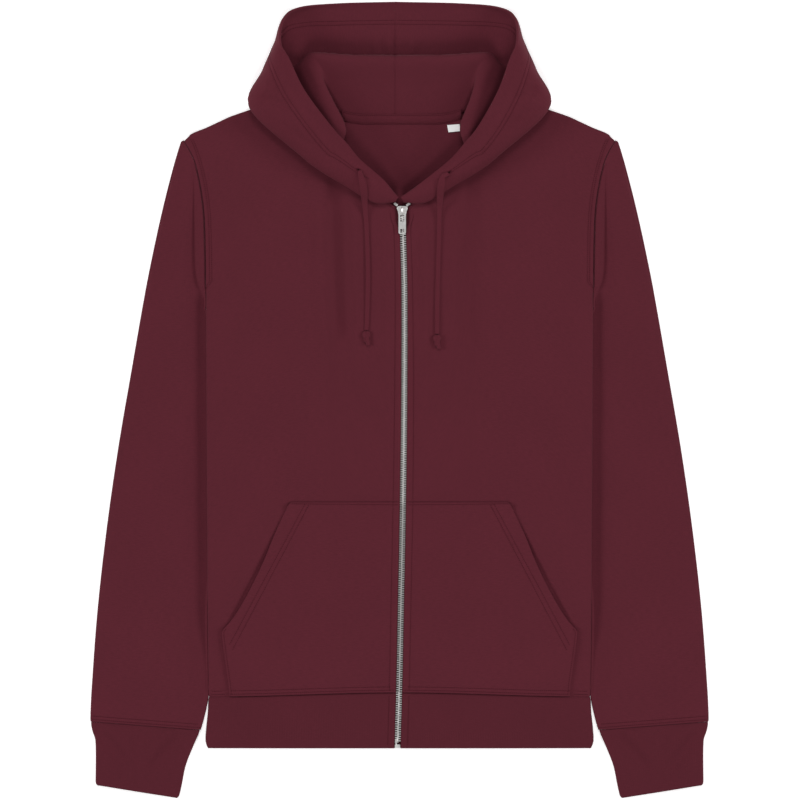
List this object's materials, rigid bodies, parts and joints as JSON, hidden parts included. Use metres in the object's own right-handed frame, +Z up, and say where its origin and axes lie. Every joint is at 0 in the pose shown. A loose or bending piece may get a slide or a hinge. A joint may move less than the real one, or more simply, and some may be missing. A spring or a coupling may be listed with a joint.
{
  "type": "zip up hoodie",
  "caption": "Hooded zip-front sweatshirt laid flat on its back: kangaroo pockets, rib cuffs and hem band, knotted drawcord, pull tab that lifts.",
  "frame": {"origin": "on the surface that it lies on, under the middle of its outline", "axes": "+X to the wearer's left, across the garment; +Y from hem to hood; +Z up from the surface, through the layers"},
  "size_m": [0.662, 0.8524, 0.0358],
  "materials": {
    "fleece": "matte brushed knit",
    "rib": "matte rib knit",
    "cord": "flat braid",
    "tape": "woven tape",
    "label": "woven satin, bare",
    "zip_metal": "polished nickel"
  },
  "bodies": {
    "garment": {"back": "fleece", "front_left": "fleece", "front_right": "fleece", "sleeve_left": "fleece", "sleeve_right": "fleece", "pocket_left": "fleece", "pocket_right": "fleece", "hood_left": "fleece", "hood_right": "fleece", "hem_band": "rib", "cuff_left": "rib", "cuff_right": "rib", "drawcord_left": "cord", "drawcord_right": "cord", "cord_knot_left": "cord", "cord_knot_right": "cord", "neck_tape": "tape", "neck_label": "label", "zip_tape_left": "tape", "zip_tape_right": "tape", "zip_chain": "zip_metal", "zip_slider": "zip_metal", "zip_stop_left": "zip_metal", "zip_stop_right": "zip_metal", "zip_box": "zip_metal"},
    "pull_tab": {"zip_pull": "zip_metal"}
  },
  "joints": [
    {"name": "pull_lift", "type": "hinge", "parent": "garment", "child": "pull_tab", "pos_m": [0.00285, 0.20365, 0.0083], "axis": [-1, 0, 0], "range_deg": [0, 130]}
  ]
}
